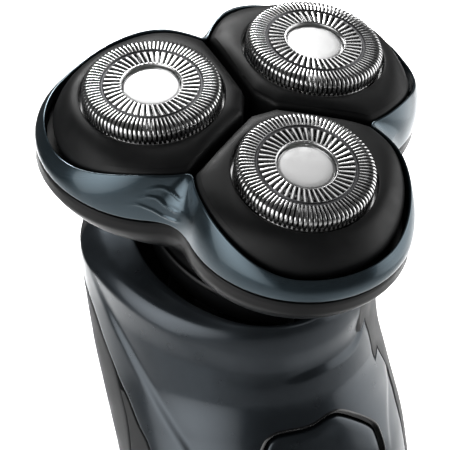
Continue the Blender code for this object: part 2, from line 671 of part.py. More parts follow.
def main():
    clear_scene()
    mats = make_materials()
    head = joint_frame("head_frame", HEAD_FRAME)
    unit = joint_frame("shaving_unit", HEAD_FRAME, head)
    drive = joint_frame("drive_axis", HEAD_FRAME, head)
    spindles = {}
    for side in POD_ANGLES:
        spindles[side] = joint_frame("spindle_axis_" + side, spindle_frame(side), head)
        pod_axis = joint_frame("pod_axis_" + side, pod_frame(side) @ Matrix.Translation((0, 0, -6.0)), unit)
        cutter_axis = joint_frame("cutter_axis_" + side, pod_frame(side), pod_axis)
        make_pod(side, mats, pod_axis)
        make_cap(side, mats, pod_axis)
        make_cutter(side, mats, cutter_axis)
    make_trim(mats, unit)
    frame_plate = lobed_plate("cutter_frame", (11.0, 11.9), lambda a: trefoil(a, TRIM_INNER - GAP), 9.0, None)
    finish(frame_plate, mats["housing_black"], unit)
    make_housing(mats, head)
    make_head_base(mats, head)
    make_drive(mats, drive, spindles)
    make_handle(mats)
    button_place = Matrix.Translation((BUTTON_CENTRE[0], -20.0, BUTTON_CENTRE[1]))
    make_button(mats, joint_frame("button_axis", button_place))
    make_base(mats)
    make_inside(mats)


main()
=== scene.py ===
"""Looks of a rotary electric shaver with three flexing heads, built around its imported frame.

Sizes are in millimetres in the frame of the part: origin at the centre of the base, +Z up, button on -Y.
"""

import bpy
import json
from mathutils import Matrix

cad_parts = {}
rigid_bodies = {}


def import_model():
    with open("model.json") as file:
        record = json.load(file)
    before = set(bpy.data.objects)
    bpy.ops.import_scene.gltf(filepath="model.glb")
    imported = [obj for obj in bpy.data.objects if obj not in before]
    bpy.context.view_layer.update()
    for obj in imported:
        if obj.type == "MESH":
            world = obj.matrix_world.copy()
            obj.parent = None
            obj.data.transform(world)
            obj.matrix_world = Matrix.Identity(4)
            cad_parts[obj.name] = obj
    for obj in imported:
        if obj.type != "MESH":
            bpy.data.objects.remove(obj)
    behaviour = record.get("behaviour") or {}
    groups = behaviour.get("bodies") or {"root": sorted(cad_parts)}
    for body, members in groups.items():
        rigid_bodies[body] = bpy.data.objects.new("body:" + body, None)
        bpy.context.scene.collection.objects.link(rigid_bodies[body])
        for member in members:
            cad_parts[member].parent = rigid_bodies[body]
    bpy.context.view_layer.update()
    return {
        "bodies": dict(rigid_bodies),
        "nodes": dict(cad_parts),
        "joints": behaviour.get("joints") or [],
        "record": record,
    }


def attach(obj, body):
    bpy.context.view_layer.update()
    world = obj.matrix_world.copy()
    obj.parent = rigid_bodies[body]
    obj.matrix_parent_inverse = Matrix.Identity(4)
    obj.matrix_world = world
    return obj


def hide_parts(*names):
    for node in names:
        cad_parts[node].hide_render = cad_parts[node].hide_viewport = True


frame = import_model()

import json
import math

import bmesh
import bpy
import numpy as np
from mathutils import Matrix, Vector
from mathutils.bvhtree import BVHTree

# ---------------------------------------------------------------------------
# Guard caps: pressed and slotted stainless steel cups, one over each cutter.
# Fine bars between the slots run outwards on the face in two tracks, and the
# outer ones bend over the rounded rim and down the side.
# ---------------------------------------------------------------------------
MM = 0.001
HEAD_FRAME = Matrix.Translation((0.0, -13.0, 150.0)) @ Matrix.Rotation(math.radians(25.0), 4, "X")
POD_OFFSET = 16.8
POD_LEAN = 6.0
LOBE_ANGLES = {"front": 270.0, "right": 30.0, "left": 150.0}
INNER_BARS = 45
INNER_BAR_WIDTH = 4.7
INNER_BAR_SKEW = 3.4
OUTER_BARS = 90
OUTER_BAR_WIDTH = 2.35
OUTER_BAR_SKEW = 1.2
CAP_TOP = 0.5


def pod_frame(side):
    """Frame of one shaving head: local X points outwards, Z along its own axis."""
    spin = Matrix.Rotation(math.radians(LOBE_ANGLES[side]), 4, "Z")
    lean = Matrix.Rotation(math.radians(POD_LEAN), 4, "Y")
    return HEAD_FRAME @ spin @ Matrix.Translation((POD_OFFSET, 0, 0)) @ lean


def mesh_of(points, faces):
    """A mesh in millimetres, with doubles merged and faces turned outwards."""
    mesh = bpy.data.meshes.new("part")
    mesh.from_pydata([tuple(p) for p in points], [], faces)
    bm = bmesh.new()
    bm.from_mesh(mesh)
    bmesh.ops.remove_doubles(bm, verts=bm.verts, dist=1e-4)
    bmesh.ops.recalc_face_normals(bm, faces=bm.faces)
    bm.to_mesh(mesh)
    bm.free()
    return mesh


def assembled(name, parts, frame=Matrix(), crease=38):
    """One object from (mesh, material) pairs in millimetres, with its place in its mesh."""
    whole = bmesh.new()
    obj_mesh = bpy.data.meshes.new(name)
    for slot, (mesh, finish) in enumerate(parts):
        first = len(whole.faces)
        whole.from_mesh(mesh)
        whole.faces.ensure_lookup_table()
        for i in range(first, len(whole.faces)):
            whole.faces[i].material_index = slot
        obj_mesh.materials.append(finish)
    whole.transform(Matrix.Scale(MM, 4) @ frame)
    whole.to_mesh(obj_mesh)
    whole.free()
    obj_mesh.shade_smooth()
    obj_mesh.set_sharp_from_angle(angle=math.radians(crease))
    obj = bpy.data.objects.new(name, obj_mesh)
    bpy.context.scene.collection.objects.link(obj)
    return obj


def lofted(rows, ends="fan"):
    """Points and faces that join closed rows. Ends are a fan, a strip, or a ring that joins last row to first."""
    count = len(rows[0])
    points = [tuple(p) for row in rows for p in row]
    faces = []
    pairs = [(r, r + 1) for r in range(len(rows) - 1)]
    if ends == "ring":
        pairs.append((len(rows) - 1, 0))
    for upper, lower in pairs:
        for i in range(count):
            j = (i + 1) % count
            faces.append((upper * count + i, upper * count + j, lower * count + j, lower * count + i))
    for r in (0, len(rows) - 1):
        base = r * count
        if ends == "fan":
            centre = np.mean(np.array(rows[r]), axis=0)
            points.append(tuple(centre))
            faces += [(base + i, base + (i + 1) % count, len(points) - 1) for i in range(count)]
        if ends == "strip":
            half = count // 2
            for i in range(half - 1):
                faces.append((base + i, base + i + 1, base + count - 2 - i, base + count - 1 - i))
    return points, faces


def turned(profile, steps=96, ends="ring"):
    """A mesh turned about local Z from (radius, z) points."""
    rows = []
    angles = [math.tau * i / steps for i in range(steps)]
    for r, z in profile:
        rows.append([(r * math.cos(a), r * math.sin(a), z) for a in angles])
    return mesh_of(*lofted(rows, ends))


def finish_of(name, dark, light, rough, grain, bump, metallic=0.0, coat=0.0, coat_rough=0.05, gloss=0.5):
    """A moulded, painted or metal surface: clouded colour, uneven roughness and a fine grain in relief.

    rough is the lowest and highest roughness, grain the fine noise's scale, and bump its strength and height in mm.
    """
    mat = bpy.data.materials.new(name)
    mat.use_nodes = True
    nodes, link = mat.node_tree.nodes, mat.node_tree.links.new
    shader = nodes["Principled BSDF"]
    shader.inputs["Metallic"].default_value = metallic
    shader.inputs["Specular IOR Level"].default_value = gloss
    shader.inputs["Coat Weight"].default_value = coat
    shader.inputs["Coat Roughness"].default_value = coat_rough
    where = nodes.new("ShaderNodeTexCoord")
    cloud = nodes.new("ShaderNodeTexNoise")
    cloud.inputs["Scale"].default_value = grain * 0.06
    cloud.inputs["Detail"].default_value = 4.0
    fine = nodes.new("ShaderNodeTexNoise")
    fine.inputs["Scale"].default_value = grain
    fine.inputs["Detail"].default_value = 2.0
    link(where.outputs["Object"], cloud.inputs["Vector"])
    link(where.outputs["Object"], fine.inputs["Vector"])
    tint = nodes.new("ShaderNodeMix")
    tint.data_type = "RGBA"
    tint.inputs["A"].default_value = (*dark, 1.0)
    tint.inputs["B"].default_value = (*light, 1.0)
    link(cloud.outputs["Fac"], tint.inputs["Factor"])
    link(tint.outputs["Result"], shader.inputs["Base Color"])
    spread = nodes.new("ShaderNodeMapRange")
    spread.inputs["From Min"].default_value = 0.3
    spread.inputs["From Max"].default_value = 0.7
    spread.inputs["To Min"].default_value = rough[0]
    spread.inputs["To Max"].default_value = rough[1]
    link(cloud.outputs["Fac"], spread.inputs["Value"])
    link(spread.outputs["Result"], shader.inputs["Roughness"])
    relief = nodes.new("ShaderNodeBump")
    relief.inputs["Strength"].default_value = bump[0]
    relief.inputs["Distance"].default_value = bump[1] * MM
    link(fine.outputs["Fac"], relief.inputs["Height"])
    link(relief.outputs["Normal"], shader.inputs["Normal"])
    return mat


slotted_steel = finish_of("slotted_steel", (0.72, 0.72, 0.72), (0.86, 0.86, 0.86), (0.16, 0.26), 5000, (0.10, 0.01),
                          1.0)
# Painted shade: the groove between the two tracks gets a much darker copy of the slotted steel, which stands in for
# the shade inside the groove.
groove_steel_painted_shade = finish_of("groove_steel_painted_shade", (0.10, 0.10, 0.105), (0.15, 0.15, 0.155), (0.34, 0.44), 5000, (0.1, 0.01),
                         0.9)


def bar_mesh(path, wide, skew):
    """One bar along a path; wide is its width in degrees, and skew how far it turns from end to end."""
    rows = []
    for k, (r, z, under_r, under_z) in enumerate(path):
        turn = math.radians(skew) * k / (len(path) - 1)
        half = math.radians(wide) / 2
        row = []
        for a, radius, height in ((-half, r, z), (-half * 0.5, r + 0.02, z + 0.05), (half * 0.5, r + 0.02, z + 0.05),
                                  (half, r, z), (half, under_r, under_z), (-half, under_r, under_z)):
            row.append((radius * math.cos(a + turn), radius * math.sin(a + turn), height))
        rows.append(row)
    return mesh_of(*lofted(rows))


def ring_of_bars(bar, count, finish):
    """Copies of one bar turned about local Z by Geometry Nodes, as one plain mesh."""
    tree = bpy.data.node_groups.new("ring_of_bars", "GeometryNodeTree")
    tree.interface.new_socket("Geometry", in_out="INPUT", socket_type="NodeSocketGeometry")
    count_in = tree.interface.new_socket("Count", in_out="INPUT", socket_type="NodeSocketInt")
    step_in = tree.interface.new_socket("Step", in_out="INPUT", socket_type="NodeSocketFloat")
    tree.interface.new_socket("Geometry", in_out="OUTPUT", socket_type="NodeSocketGeometry")
    nodes, link = tree.nodes, tree.links.new
    entry, leave = nodes.new("NodeGroupInput"), nodes.new("NodeGroupOutput")
    spots = nodes.new("GeometryNodePoints")
    index = nodes.new("GeometryNodeInputIndex")
    turn = nodes.new("ShaderNodeMath")
    turn.operation = "MULTIPLY"
    axis = nodes.new("ShaderNodeCombineXYZ")
    spin = nodes.new("FunctionNodeEulerToRotation")
    place = nodes.new("GeometryNodeInstanceOnPoints")
    real = nodes.new("GeometryNodeRealizeInstances")
    paint = nodes.new("GeometryNodeSetMaterial")
    paint.inputs["Material"].default_value = finish
    link(entry.outputs["Count"], spots.inputs["Count"])
    link(index.outputs[0], turn.inputs[0])
    link(entry.outputs["Step"], turn.inputs[1])
    link(turn.outputs[0], axis.inputs["Z"])
    link(axis.outputs[0], spin.inputs[0])
    link(spots.outputs[0], place.inputs["Points"])
    link(entry.outputs["Geometry"], place.inputs["Instance"])
    link(spin.outputs[0], place.inputs["Rotation"])
    link(place.outputs[0], real.inputs[0])
    link(real.outputs[0], paint.inputs["Geometry"])
    link(paint.outputs[0], leave.inputs[0])
    holder = bpy.data.objects.new("bar", bar)
    bpy.context.scene.collection.objects.link(holder)
    modifier = holder.modifiers.new("ring", "NODES")
    modifier.node_group = tree
    modifier[count_in.identifier] = count
    modifier[step_in.identifier] = math.tau / count
    graph = bpy.context.evaluated_depsgraph_get()
    mesh = bpy.data.meshes.new_from_object(holder.evaluated_get(graph))
    holder.modifiers.clear()
    bpy.data.objects.remove(holder)
    return mesh


# each point of a bar's path: outer radius and height, then the same under it
inner_path = [(4.95, CAP_TOP, 4.95, 0.0), (6.2, CAP_TOP + 0.03, 6.2, 0.0), (7.55, CAP_TOP, 7.55, 0.0)]
outer_path = [(8.2, CAP_TOP, 8.2, 0.0), (9.4, CAP_TOP + 0.01, 9.4, 0.0), (10.15, 0.44, 10.0, -0.05),
              (10.66, 0.22, 10.3, -0.25), (10.95, -0.15, 10.45, -0.5), (11.08, -0.65, 10.5, -0.9),
              (11.1, -2.25, 10.5, -2.25)]
inner_rim = [(4.74, 0.34), (4.80, 0.47), (4.88, CAP_TOP + 0.02), (5.0, CAP_TOP), (5.0, -0.3), (4.74, -0.3)]
groove = [(7.5, CAP_TOP), (7.58, CAP_TOP + 0.03), (7.66, 0.44), (7.76, 0.32), (8.02, 0.32), (8.12, 0.44),
          (8.2, CAP_TOP + 0.03), (8.28, CAP_TOP), (8.28, -0.2), (7.5, -0.2)]
skirt = [(10.5, -2.2), (11.0, -2.2), (11.1, -2.3), (11.1, -4.1), (12.1, -4.1), (12.1, -4.55), (10.5, -4.55)]
inner_bars = ring_of_bars(bar_mesh(inner_path, INNER_BAR_WIDTH, INNER_BAR_SKEW), INNER_BARS, slotted_steel)
outer_bars = ring_of_bars(bar_mesh(outer_path, OUTER_BAR_WIDTH, OUTER_BAR_SKEW), OUTER_BARS, slotted_steel)
for side in LOBE_ANGLES:
    # The groove ring takes the steel with painted shade, darker than the rest of the cap.
    parts = [(inner_bars, slotted_steel), (outer_bars, slotted_steel), (turned(inner_rim), slotted_steel),
             (turned(groove), groove_steel_painted_shade), (turned(skirt), slotted_steel)]
    cap = assembled("guard_cap_" + side + "_slotted", parts, pod_frame(side))
    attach(cap, "head_" + side)
    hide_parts("guard_cap_" + side)

# ---------------------------------------------------------------------------
# Cap discs: plain turned discs that close the middle of each guard cap. They
# are fine-turned and bead-blasted, with a small rounded edge.
# ---------------------------------------------------------------------------
satin_steel = finish_of("satin_steel", (0.80, 0.80, 0.80), (0.90, 0.90, 0.90), (0.30, 0.42), 9000, (0.22, 0.01), 1.0)
disc_profile = [(0.0, 0.03), (1.5, 0.025), (3.0, 0.01), (4.0, -0.02), (4.35, -0.07), (4.52, -0.18), (4.56, -0.32),
                (4.56, -0.58), (0.0, -0.58)]
for side in LOBE_ANGLES:
    disc = assembled("cap_disc_" + side + "_satin", [(turned(disc_profile, 96, "open"), satin_steel)], pod_frame(side))
    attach(disc, "head_" + side)
    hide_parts("cap_disc_" + side)

# ---------------------------------------------------------------------------
# Pods: three soft-touch moulded carriers that float in the trim ring. Each is
# domed round its cap, with straight stepped sides where it meets the others.
# ---------------------------------------------------------------------------
LOBE_OFFSET = 16.2
POD_RADIUS = 16.55
POD_HOLE = 11.5
POD_TOP = 1.8
POD_BOTTOM = 10.0
POD_SPLIT = 0.9
POD_NOSE = 2.6
POD_INNER_DEPTH = 2.9
LOBE_BLEND = 2.4
CORNERS = (90.0, 210.0, 330.0)
CORNER_SPREAD = (10.0, 46.0)
TRIM_TOP = 8.1
TRIM_CORNER_RISE = 5.2
soft_black = finish_of("soft_black", (0.007, 0.0075, 0.008), (0.011, 0.0115, 0.012), (0.42, 0.54), 6500, (0.3, 0.012),
                       0.0, 0.0, 0.05, 0.35)


def trefoil(angle, radius, blend=LOBE_BLEND):
    """Distance from the head's centre to the three-lobed outline, at an angle in degrees."""
    reach = []
    for centre in LOBE_ANGLES.values():
        phi = math.radians(angle - centre)
        inside = radius ** 2 - (LOBE_OFFSET * math.sin(phi)) ** 2
        reach.append(LOBE_OFFSET * math.cos(phi) + math.sqrt(inside))
    reach.sort()
    h = max(blend - (reach[2] - reach[1]), 0.0) / blend
    return reach[2] + h * h * blend / 4


def corner_weight(angle, near, far):
    """1 close to the three concave corners of the head, falling smoothly to 0."""
    away = min(abs((angle - centre + 180) % 360 - 180) for centre in CORNERS)
    t = min(max((far - away) / (far - near), 0.0), 1.0)
    return t * t * (3 - 2 * t)


def trim_top(angle):
    """Depth of the trim ring's upper edge, which rises at the concave corners."""
    return TRIM_TOP - TRIM_CORNER_RISE * corner_weight(angle, *CORNER_SPREAD)


def pod_outline():
    """Plan of a pod as (x, y, edge depth, share of straight side)."""
    lean = math.sin(math.radians(POD_LEAN))
    reach = trefoil(90.0, POD_RADIUS)
    half = math.radians(60) - math.asin(POD_SPLIT / reach)
    points = []
    for i in range(97):
        a = -half + 2 * half * i / 96
        angle = 30.0 + math.degrees(a)
        r = trefoil(angle, POD_RADIUS)
        x = r * math.cos(a) - POD_OFFSET
        points.append((x, r * math.sin(a), trim_top(angle) - 0.1 - x * lean, 0.0))
    corner = Vector(points[-1][:2])
    apex = Vector((POD_SPLIT / math.sin(math.radians(60)) - POD_OFFSET, 0))
    nose = apex + (corner - apex).normalized() * POD_NOSE
    edge = []
    for i in range(1, 25):
        t = i / 24
        p = corner.lerp(nose, t)
        depth = POD_INNER_DEPTH + (points[-1][2] - POD_INNER_DEPTH) * max(1 - t / 0.3, 0.0) ** 2
        edge.append((p.x, p.y, depth, min(t / 0.25, 1.0)))
    cut = [(nose.x, nose.y * (1 - i / 3), POD_INNER_DEPTH, 1.0) for i in range(1, 3)]
    mirrored = [(x, -y, d, w) for x, y, d, w in reversed(edge)]
    return points + edge + cut + [(x, -y, d, w) for x, y, d, w in reversed(cut)] + mirrored


def pod_row(outline, share, inset, step):
    """A closed row of the pod at a share of the way from hole to edge, then inset from it."""
    row = []
    for x, y, depth, straight in outline:
        reach = math.hypot(x, y)
        r = POD_HOLE + 0.25 + (reach - POD_HOLE - 0.25) * share - inset
        near = max((r - POD_HOLE) / (reach - POD_HOLE), 0.0)
        z = -(POD_TOP + (depth - POD_TOP) * min(near, 1.0) ** 2.4) - step[0] - (step[1] - step[0]) * straight
        row.append((x / reach * r, y / reach * r, z))
    return row


def pod_bore(outline, radius, z):
    """A closed row round the pod's bore, with its points in line with the outline's."""
    return [(x / math.hypot(x, y) * radius, y / math.hypot(x, y) * radius, z) for x, y, _, _ in outline]


def pod_level(outline, inset, depth):
    """A closed row of the pod at one depth in the head, inset from its outline."""
    lean = math.sin(math.radians(POD_LEAN))
    row = []
    for x, y, _, _ in outline:
        k = 1 - inset / math.hypot(x, y)
        row.append((x * k, y * k, x * k * lean - depth))
    return row


plan = pod_outline()
pod_rows = [pod_bore(plan, POD_HOLE + widening, z)
            for widening, z in ((0.0, -4.2), (0.0, -2.3), (0.06, -1.98), (0.16, -1.84))]
pod_rows += [pod_row(plan, i / 22, 0.0, (0.0, 0.0)) for i in range(20)]
for inset, drop in ((1.42, 0.0), (1.34, 0.10), (1.28, 0.30), (0.9, 0.33), (0.42, 0.38), (0.22, 0.47), (0.08, 0.64)):
    pod_rows.append(pod_row(plan, 1.0, inset, (drop * 0.30 * (inset < 0.5), drop)))
pod_rows.append(pod_row(plan, 1.0, 0.0, (0.45, 0.95)))
pod_rows += [pod_level(plan, inset, POD_BOTTOM - rise) for inset, rise in ((0.35, 0.1), (0.45, 0.0), (1.3, 0.0))]
pod_rows += [pod_row(plan, 1.0, 1.5, (1.9, 1.9)), pod_row(plan, 0.5, 0.0, (1.6, 1.6))]
pod_rows.append(pod_bore(plan, POD_HOLE, -4.4))
pod_mesh = mesh_of(*lofted(pod_rows, "ring"))
for side in LOBE_ANGLES:
    pod = assembled("pod_" + side + "_soft", [(pod_mesh, soft_black)], pod_frame(side), 50)
    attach(pod, "head_" + side)
    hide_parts("pod_" + side)

# ---------------------------------------------------------------------------
# Trim ring: a metal-painted band round the pods, lacquered clear. It bulges
# outwards, and three crescent ridges at each concave corner give the fingers
# a hold when the shaving unit is pulled off.
# ---------------------------------------------------------------------------
TRIM_RADIUS = 18.5
TRIM_INNER = 16.95
TRIM_BOTTOM = 11.55
TRIM_LIP = 0.38
TRIM_STEPS = 1080
RIDGE_HEIGHT = 0.26
RIDGE_WIDTH = 0.22
RIDGE_MM_PER_DEGREE = 0.40
trim_blue = finish_of("trim_blue_metal", (0.060, 0.090, 0.110), (0.075, 0.108, 0.130), (0.20, 0.27), 7000,
                      (0.05, 0.01), 0.85, 0.6, 0.06)
# each ridge runs through (degrees from the corner, depth)
TRIM_RIDGES = (((-11.6, 5.5), (-9.6, 4.95), (-7.2, 4.8), (-3.4, 5.5), (0.2, 6.0), (2.2, 5.6)),
               ((-13.0, 7.2), (-10.4, 6.5), (-7.4, 6.7), (-3.8, 7.7), (0.2, 8.1), (2.8, 7.5)),
               ((-15.2, 8.8), (-12.6, 8.2), (-8.4, 8.9), (-4.2, 9.8), (0.4, 9.9), (3.8, 9.1)))


def along_line(points, line):
    """Signed distance of points from a line through (u, v) points, and the share of the way along it."""
    line = np.array(line, float)
    best = np.full(len(points), 1e9)
    side = np.zeros(len(points))
    share = np.zeros(len(points))
    lengths = np.hypot(*(line[1:] - line[:-1]).T)
    total = lengths.sum()
    done = 0.0
    for p, q, length in zip(line, line[1:], lengths):
        d = (q - p) / length
        s = np.clip((points - p) @ d, 0, length)
        off = points - (p + s[:, None] * d)
        dist = np.hypot(off[:, 0], off[:, 1])
        closer = dist < best
        best = np.where(closer, dist, best)
        side = np.where(closer, np.sign(d[0] * off[:, 1] - d[1] * off[:, 0]), side)
        share = np.where(closer, (done + s) / total, share)
        done += length
    return best * side, share


def smoothed(line, steps=6):
    """More points on a smooth curve through a line's points."""
    line = [np.array(p, float) for p in line]
    out = []
    for i in range(len(line) - 1):
        a, b = line[i], line[i + 1]
        before = line[i - 1] if i else 2 * a - b
        beyond = line[i + 2] if i + 2 < len(line) else 2 * b - a
        for k in range(steps):
            u = k / steps
            out.append(0.5 * (2 * a + (b - before) * u + (2 * before - 5 * a + 4 * b - beyond) * u * u
                              + (3 * a - 3 * b + beyond - before) * u ** 3))
    out.append(line[-1])
    return out


def trim_relief(angles, depths):
    """How far the finger ridges stand out at each angle and depth."""
    height = np.zeros(len(angles))
    for corner in CORNERS:
        away = (angles - corner + 180) % 360 - 180
        spots = np.stack([away * RIDGE_MM_PER_DEGREE, depths], 1)
        for ridge in TRIM_RIDGES:
            line = smoothed([(a * RIDGE_MM_PER_DEGREE, d) for a, d in ridge])
            gap, share = along_line(spots, line)
            fade = np.clip(np.minimum(share, 1 - share) / 0.25, 0, 1) ** 0.8
            height += fade * np.exp(-(gap / RIDGE_WIDTH) ** 2) * RIDGE_HEIGHT
    return height


def trim_row(radius_at, depth_at, ridged=False):
    """A closed row of the band from its radius and depth at each angle."""
    angles = np.arange(TRIM_STEPS) * 360.0 / TRIM_STEPS
    depths = np.array([depth_at(a) for a in angles])
    radii = np.array([radius_at(a) for a in angles])
    if ridged:
        radii = radii + trim_relief(angles, depths)
    a = np.radians(angles)
    return np.stack([radii * np.cos(a), radii * np.sin(a), -depths], 1)


def bulge(angle, t):
    """Outer radius of the band at an angle and a share t of its height, rounder in the corners lower down."""
    radius = TRIM_INNER + TRIM_LIP + (TRIM_RADIUS - TRIM_INNER - TRIM_LIP) * (1 - (1 - t / 0.85) ** 2)
    return trefoil(angle, radius, LOBE_BLEND + 6.0 * min(t / 0.5, 1.0) ** 0.8)


trim_rows = [trim_row(lambda a: trefoil(a, TRIM_INNER), lambda a: TRIM_BOTTOM)]
for out, down in ((0.0, 0.3), (0.04, 0.10), (0.14, 0.0), (0.30, 0.03)):
    trim_rows.append(trim_row(lambda a: trefoil(a, TRIM_INNER + out), lambda a: trim_top(a) + down))
for i in range(43):
    t = i / 42
    trim_rows.append(trim_row(lambda a: bulge(a, t),
                              lambda a: trim_top(a) + 0.14 + (TRIM_BOTTOM - 0.25 - trim_top(a)) * t, True))
trim_rows.append(trim_row(lambda a: bulge(a, 1.0) - 0.12, lambda a: TRIM_BOTTOM))
trim = assembled("trim_ring_lacquered", [(mesh_of(*lofted(trim_rows, "ring")), trim_blue)], HEAD_FRAME, 50)
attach(trim, "shaving_unit")
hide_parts("trim_ring")

# ---------------------------------------------------------------------------
# Lower head housing: a satin black bowl that carries the gears, moulded in
# one with the oval neck that goes down into the handle.
# ---------------------------------------------------------------------------
HOUSING_RADIUS = 18.2
HOUSING_BLEND = 6.0
HOUSING_WALL = 1.4
HOUSING_TOP = 12.25
NECK_HALF = (14.2, 19.0)
# share of the way from the three lobes to the oval neck, and depth
HOUSING_LEVELS = ((0.0, 12.8), (0.0, 14.6), (0.12, 17.2), (0.36, 19.4), (0.68, 21.6), (0.90, 23.6), (1.0, 26.0),
                  (1.0, 32.0))
housing_black = finish_of("housing_black", (0.004, 0.0042, 0.0045), (0.007, 0.0074, 0.008), (0.30, 0.38), 6000,
                          (0.12, 0.01), 0.0, 0.0, 0.15, 0.32)


def housing_row(share, depth, shrink):
    """A closed row of the bowl: share 0 is the three lobes and share 1 the neck."""
    share = min(max(share, 0.0), 1.0)
    row = []
    for i in range(240):
        angle = 1.5 * i
        a = math.radians(angle)
        oval = NECK_HALF[0] * NECK_HALF[1] / math.hypot(NECK_HALF[1] * math.cos(a), NECK_HALF[0] * math.sin(a))
        lobes = trefoil(angle, HOUSING_RADIUS, HOUSING_BLEND)
        r = lobes + (oval - lobes) * share - shrink
        row.append((r * math.cos(a), r * math.sin(a), -depth))
    return row


outer_levels = [tuple(p) for p in smoothed(HOUSING_LEVELS, 5)]
housing_rows = [housing_row(0.0, HOUSING_TOP, 0.35), housing_row(0.0, HOUSING_TOP + 0.07, 0.12)]
housing_rows += [housing_row(share, depth, 0.0) for share, depth in outer_levels]
housing_rows += [housing_row(share, max(depth - 0.4, HOUSING_TOP + 0.05), HOUSING_WALL)
                 for share, depth in reversed(outer_levels[::3])]
housing_rows.append(housing_row(0.0, HOUSING_TOP, 1.2))
housing = assembled("head_housing_satin", [(mesh_of(*lofted(housing_rows, "ring")), housing_black)], HEAD_FRAME, 50)
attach(housing, "handle")
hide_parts("head_housing")

# ---------------------------------------------------------------------------
# Neck ring: a thin black collar clipped round the neck, which hides the joint
# between the head and the handle.
# ---------------------------------------------------------------------------
COLLAR_DEPTH = 27.4
COLLAR_SIDES = 13
collar_rows = []
for i in range(COLLAR_SIDES):
    a = math.tau * i / COLLAR_SIDES
    collar_rows.append(housing_row(1.0, COLLAR_DEPTH - 0.55 * math.sin(a), -0.55 - 0.30 * math.cos(a)))
collar = assembled("neck_ring_collar", [(mesh_of(*lofted(collar_rows, "ring")), housing_black)], HEAD_FRAME)
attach(collar, "handle")
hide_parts("neck_ring")

# ---------------------------------------------------------------------------
# Front shell: a glossy, dark metal-painted moulding under clear lacquer. Soft
# folds are moulded into its shoulders, its seam edges are rounded, and it is
# cut out for the shoulder inlay, the button and the charge light.
# ---------------------------------------------------------------------------
# stations down the handle: y, z, tilt, half width, front, back, power
STATIONS = (
    (-0.4, 122.8, 25, 19.2, 22.3, 23.4, 1.95), (1.9, 122.4, 25, 22.4, 24.95, 23.6, 1.95),
    (6.5, 121.2, 24.5, 24.6, 29.7, 20.3, 1.95), (8.3, 115.5, 20, 24.2, 30.05, 18.7, 1.95),
    (8.0, 106.7, 13, 24.1, 28.65, 17.3, 1.95), (5.3, 97.3, 6, 24.1, 25.95, 17.3, 2.05),
    (1.4, 86, 1, 24.1, 23, 18.2, 2.2), (-1, 70, 0, 23.6, 20, 19.8, 2.2), (-0.4, 46, 0, 22.4, 19, 19.4, 2.2),
    (0, 22, 0, 22, 19, 19.2, 2.2), (0, 3.2, 0, 22.2, 19.2, 19.2, 2.3))
WALL = 2.0
SEAM = 0.22
SHELL_EDGE = ((14, 140), (13.2, 127), (12.3, 121), (10.9, 117.8), (8.2, 113.8), (6, 109), (3.9, 105.2), (2.3, 102.5),
              (-0.2, 99.3), (-2.5, 95.6), (-5.2, 92), (-9.2, 82), (-11, 68), (-10.5, 42), (-7, 16), (-4, -2))
INLAY_EDGE = ((-17.9, 118), (-17, 112), (-15.7, 106.8), (-14.5, 108.4), (-13.4, 105.1), (-13, 103), (-12.8, 99.9),
              (-10.9, 101.1), (-10.3, 98.2), (-9.9, 95.4), (-10.9, 92.6), (-12, 90.4), (-12.6, 88), (-12.9, 85),
              (-12.8, 80), (-12.1, 74), (-11.3, 68.6))
INLAY_GAP = 0.35
BUTTON_CENTRE = (1.2, 84.0)
BUTTON_OUTLINE = ((-9.6, 8.6), (-7.4, 10.7), (-1.7, 10.7), (2.4, 11.6), (5, 10.9), (9.9, 7.3), (11.1, 5), (11.5, 0.5),
                  (10.3, -6), (6, -10.8), (0, -12.6), (-6, -10.8), (-10.2, -6), (-11.5, 0), (-11, 5))
BEZEL_WIDTH = 0.9
LAMP_HEIGHT = 64.0
SIDE_FRAME = Matrix(((0, 0, 1, 0), (1, 0, 0, 0), (0, 1, 0, 0), (0, 0, 0, 1)))
FRONT_FRAME = Matrix(((1, 0, 0, 0), (0, 0, -1, 0), (0, 1, 0, 0), (0, 0, 0, 1)))
shell_blue = finish_of("shell_blue_gloss", (0.036, 0.045, 0.054), (0.046, 0.057, 0.068), (0.27, 0.32), 6000,
                       (0.03, 0.01), 0.8, 0.6, 0.16)
SKIN_MM_PER_DEGREE = 0.42
SEAM_REACH = 22.0
# folds: line of (degrees round from the front, height), then depth, width and how far they fade away
SHELL_FOLDS = (
    (((-81, 121.3), (-68, 118.5), (-55, 114.6), (-46, 110.7), (-35, 105.8), (-26, 104.2), (-10, 104.3), (2, 104.2)),
     0.22, 3.0, 9.0),
    (((-12, 103.7), (-4, 103.8), (9, 104.2), (20, 104.5), (30, 105.2), (38, 107.2), (43, 110.0)), 0.50, 0.75, 5.0),
    (((-104, 125.0), (-99, 121.5), (-92, 114.5), (-82, 108.2), (-71, 101.6), (-62, 97.2), (-53, 92.6), (-46, 87.0),
      (-41, 79.0), (-38, 68.0), (-37, 56.0)), 0.62, 1.0, 6.0),
    (((62, 98.5), (54, 94.9), (46, 92.3), (40, 89.0), (37, 84.0)), 0.25, 0.9, 4.0))


